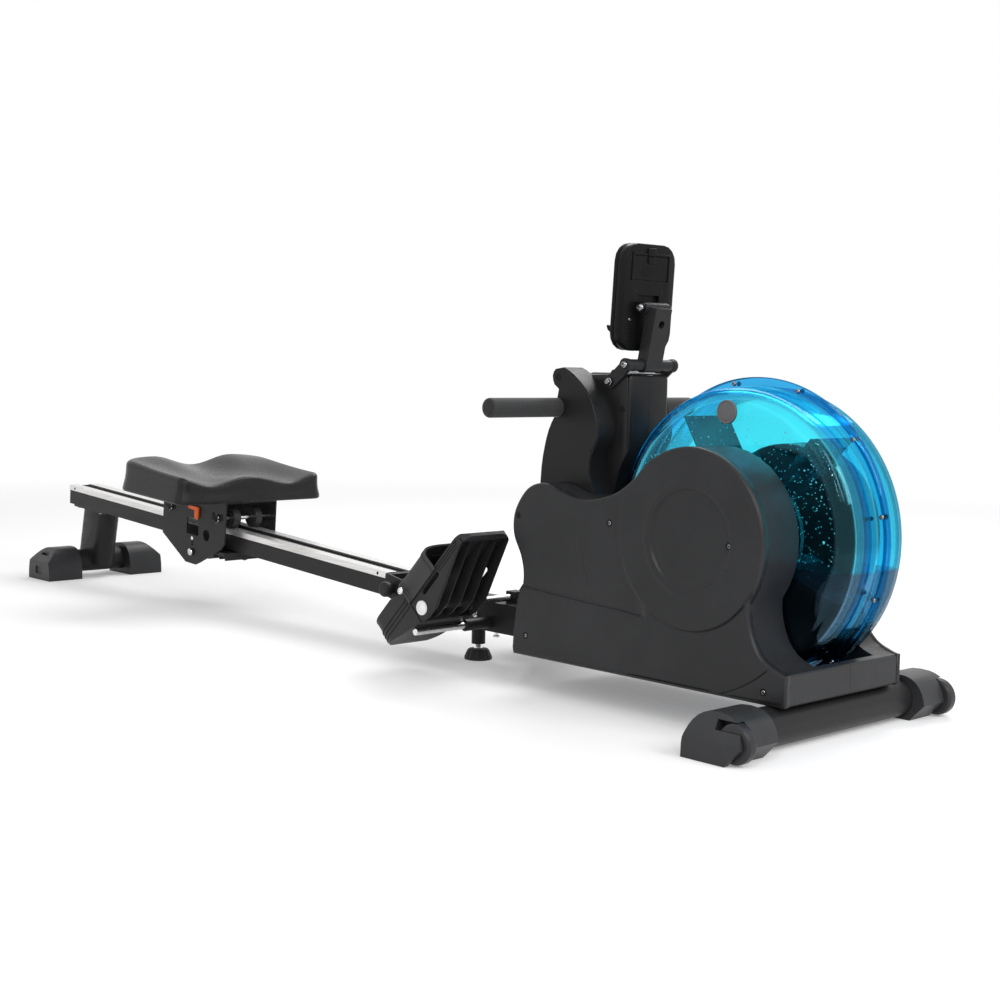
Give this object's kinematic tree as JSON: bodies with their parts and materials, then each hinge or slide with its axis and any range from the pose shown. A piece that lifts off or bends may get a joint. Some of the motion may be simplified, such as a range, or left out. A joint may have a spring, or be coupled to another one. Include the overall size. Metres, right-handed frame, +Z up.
{
  "type": "water rowing machine",
  "caption": "Water rowing machine: sloping rail with a rolling seat, tilting foot plates with straps, pull handle on hooks, tilting monitor and a round blue water tank with a paddle wheel.",
  "frame": {"origin": "on the floor, under the middle of the machine's length and width", "axes": "+X forwards to the water tank, +Y to the seated user's left, +Z up"},
  "size_m": [2.2064, 0.51, 0.6977],
  "materials": {
    "casing_plastic": "black ABS, satin to glossy",
    "black_plastic": "black moulded plastic, fine grain",
    "black_steel": "black powder coat, satin",
    "chromed_steel": "bright chrome plate",
    "bright_strip": "bright stainless running strip",
    "grip_rubber": "black rubber",
    "strap_webbing": "black woven webbing",
    "tank_blue": "clear blue polycarbonate",
    "paddle_grey": "dark moulded plastic",
    "light_grey": "grey moulded plastic",
    "roller_plastic": "black urethane",
    "seat_foam": "charcoal moulded foam with a fine grain",
    "orange_plastic": "orange moulded plastic"
  },
  "bodies": {
    "frame": {"main_frame": "black_steel", "front_foot_tube": "black_steel", "foot_cap_right": "black_plastic", "foot_cap_left": "black_plastic", "casing_right": "casing_plastic", "casing_left": "casing_plastic", "column_right": "black_plastic", "column_left": "black_plastic", "console_bracket": "black_steel", "tank_right": "tank_blue", "tank_left": "tank_blue", "pedal_axle": "chromed_steel", "pedal_stop_rod": "chromed_steel", "rail_pivot_bolt": "chromed_steel", "shaft_bearing": "chromed_steel"},
    "rail": {"rail_beam": "black_steel", "rail_strip_right": "bright_strip", "rail_strip_left": "bright_strip", "rail_hinge_fork": "black_steel", "rear_leg": "black_steel", "rear_cap_right": "black_plastic", "rear_cap_left": "black_plastic"},
    "fold_knob": {"fold_knob": "black_plastic"},
    "seat": {"seat_carriage": "black_steel", "seat_pad": "seat_foam", "axle_front": "chromed_steel", "axle_rear": "chromed_steel", "guide_block": "black_plastic"},
    "front_rollers": {"roller_front_right": "roller_plastic", "roller_front_left": "roller_plastic"},
    "rear_rollers": {"roller_rear_right": "roller_plastic", "roller_rear_left": "roller_plastic"},
    "guide_roller": {"guide_roller": "roller_plastic"},
    "seat_lock_lever": {"seat_lock_lever": "orange_plastic"},
    "handle": {"handle_bar": "black_steel", "handle_grip_right": "grip_rubber", "handle_grip_left": "grip_rubber", "strap_clamp": "black_plastic", "pull_strap": "strap_webbing"},
    "spool": {"strap_spool": "black_plastic"},
    "guide_pulley": {"guide_pulley": "black_plastic"},
    "impeller": {"impeller": "paddle_grey", "impeller_shaft": "chromed_steel"},
    "console_arm": {"console_arm": "black_steel"},
    "console": {"console_back": "black_plastic", "console_front": "black_plastic"},
    "battery_cover": {"battery_cover": "black_plastic"},
    "button_mode": {"button_mode": "grip_rubber"},
    "button_set": {"button_set": "grip_rubber"},
    "button_reset": {"button_reset": "grip_rubber"},
    "fill_plug": {"fill_plug": "light_grey"},
    "right_pedal": {"pedal_right": "black_plastic", "heel_cup_right": "black_plastic", "foot_strap_right": "grip_rubber"},
    "left_pedal": {"pedal_left": "black_plastic", "heel_cup_left": "black_plastic", "foot_strap_left": "grip_rubber"},
    "leveller": {"leveller_foot": "grip_rubber"},
    "right_wheel": {"wheel_right": "light_grey"},
    "left_wheel": {"wheel_left": "light_grey"}
  },
  "joints": [
    {"name": "rail_fold", "type": "hinge", "parent": "frame", "child": "rail", "pos_m": [0.15515, 0, 0.095], "axis": [0, -1, 0], "range_deg": [-85, 0]},
    {"name": "fold_knob_pull", "type": "slide", "parent": "rail", "child": "fold_knob", "axis": [0, -1, 0], "range_m": [0, 0.01], "stiffness_N_per_m": 800},
    {"name": "seat_slide", "type": "slide", "parent": "rail", "child": "seat", "axis": [-0.9978, 0, 0.0663], "range_m": [-0.4, 0.36]},
    {"name": "front_roller_spin", "type": "hinge", "parent": "seat", "child": "front_rollers", "pos_m": [-0.43129, 0, 0.18665], "axis": [0, 1, 0], "range_deg": [-1000, 1110]},
    {"name": "rear_roller_spin", "type": "hinge", "parent": "seat", "child": "rear_rollers", "pos_m": [-0.6099, 0, 0.19851], "axis": [0, 1, 0], "range_deg": [-1000, 1110]},
    {"name": "guide_roller_spin", "type": "hinge", "parent": "seat", "child": "guide_roller", "pos_m": [-0.52764, 0, 0.10926], "axis": [0, 1, 0], "range_deg": [-1290, 1160]},
    {"name": "seat_lock_turn", "type": "hinge", "parent": "seat", "child": "seat_lock_lever", "pos_m": [-0.50469, 0, 0.19824], "axis": [0, 1, 0], "range_deg": [0, 35]},
    {"name": "handle_pull", "type": "slide", "parent": "frame", "child": "handle", "axis": [-1, 0, 0], "range_m": [0, 0.85], "stiffness_N_per_m": 15, "deforming": ["pull_strap"]},
    {"name": "spool_spin", "type": "hinge", "parent": "frame", "child": "spool", "pos_m": [0.87515, 0, 0.27], "axis": [0, 1, 0], "range_deg": [-1170, 10]},
    {"name": "guide_pulley_spin", "type": "hinge", "parent": "frame", "child": "guide_pulley", "pos_m": [0.60915, 0, 0.4282], "axis": [0, 1, 0], "range_deg": [-3000, 10]},
    {"name": "impeller_spin", "type": "hinge", "parent": "frame", "child": "impeller", "pos_m": [0.87515, 0.012, 0.27], "axis": [0, 1, 0], "continuous": true},
    {"name": "console_arm_tilt", "type": "hinge", "parent": "frame", "child": "console_arm", "pos_m": [0.67215, 0, 0.512], "axis": [0, 1, 0], "range_deg": [-20, 15]},
    {"name": "console_tilt", "type": "hinge", "parent": "console_arm", "child": "console", "pos_m": [0.6784, 0, 0.5991], "axis": [0, 1, 0], "range_deg": [-6, 25]},
    {"name": "battery_cover_slide", "type": "slide", "parent": "console", "child": "battery_cover", "axis": [0.9981, 0, -0.061], "range_m": [0, 0.02]},
    {"name": "button_mode_press", "type": "slide", "parent": "console", "child": "button_mode", "axis": [0.9981, 0, -0.061], "range_m": [0, 0.002], "stiffness_N_per_m": 400},
    {"name": "button_set_press", "type": "slide", "parent": "console", "child": "button_set", "axis": [0.9981, 0, -0.061], "range_m": [0, 0.002], "stiffness_N_per_m": 400},
    {"name": "button_reset_press", "type": "slide", "parent": "console", "child": "button_reset", "axis": [0.9981, 0, -0.061], "range_m": [0, 0.002], "stiffness_N_per_m": 400},
    {"name": "fill_plug_pull", "type": "slide", "parent": "frame", "child": "fill_plug", "axis": [0, -1, 0], "range_m": [0, 0.03]},
    {"name": "right_pedal_tilt", "type": "hinge", "parent": "frame", "child": "right_pedal", "pos_m": [0.38415, -0.151, 0.119], "axis": [0, 1, 0], "range_deg": [0, 30]},
    {"name": "left_pedal_tilt", "type": "hinge", "parent": "frame", "child": "left_pedal", "pos_m": [0.38415, 0.151, 0.119], "axis": [0, 1, 0], "range_deg": [0, 30]},
    {"name": "leveller_screw", "type": "slide", "parent": "frame", "child": "leveller", "axis": [0, 0, 1], "range_m": [0, 0.007]},
    {"name": "right_wheel_spin", "type": "hinge", "parent": "frame", "child": "right_wheel", "pos_m": [1.04915, -0.237, 0.029], "axis": [0, 1, 0], "continuous": true},
    {"name": "left_wheel_spin", "type": "hinge", "parent": "frame", "child": "left_wheel", "pos_m": [1.04915, 0.237, 0.029], "axis": [0, 1, 0], "continuous": true}
  ],
  "couplings": [
    {"joint": "front_roller_spin", "follows": "seat_slide", "rad_per_m": -47.619},
    {"joint": "rear_roller_spin", "follows": "seat_slide", "rad_per_m": -47.619},
    {"joint": "guide_roller_spin", "follows": "seat_slide", "rad_per_m": 55.556},
    {"joint": "spool_spin", "follows": "handle_pull", "rad_per_m": -23.809},
    {"joint": "guide_pulley_spin", "follows": "handle_pull", "rad_per_m": -61.35}
  ]
}
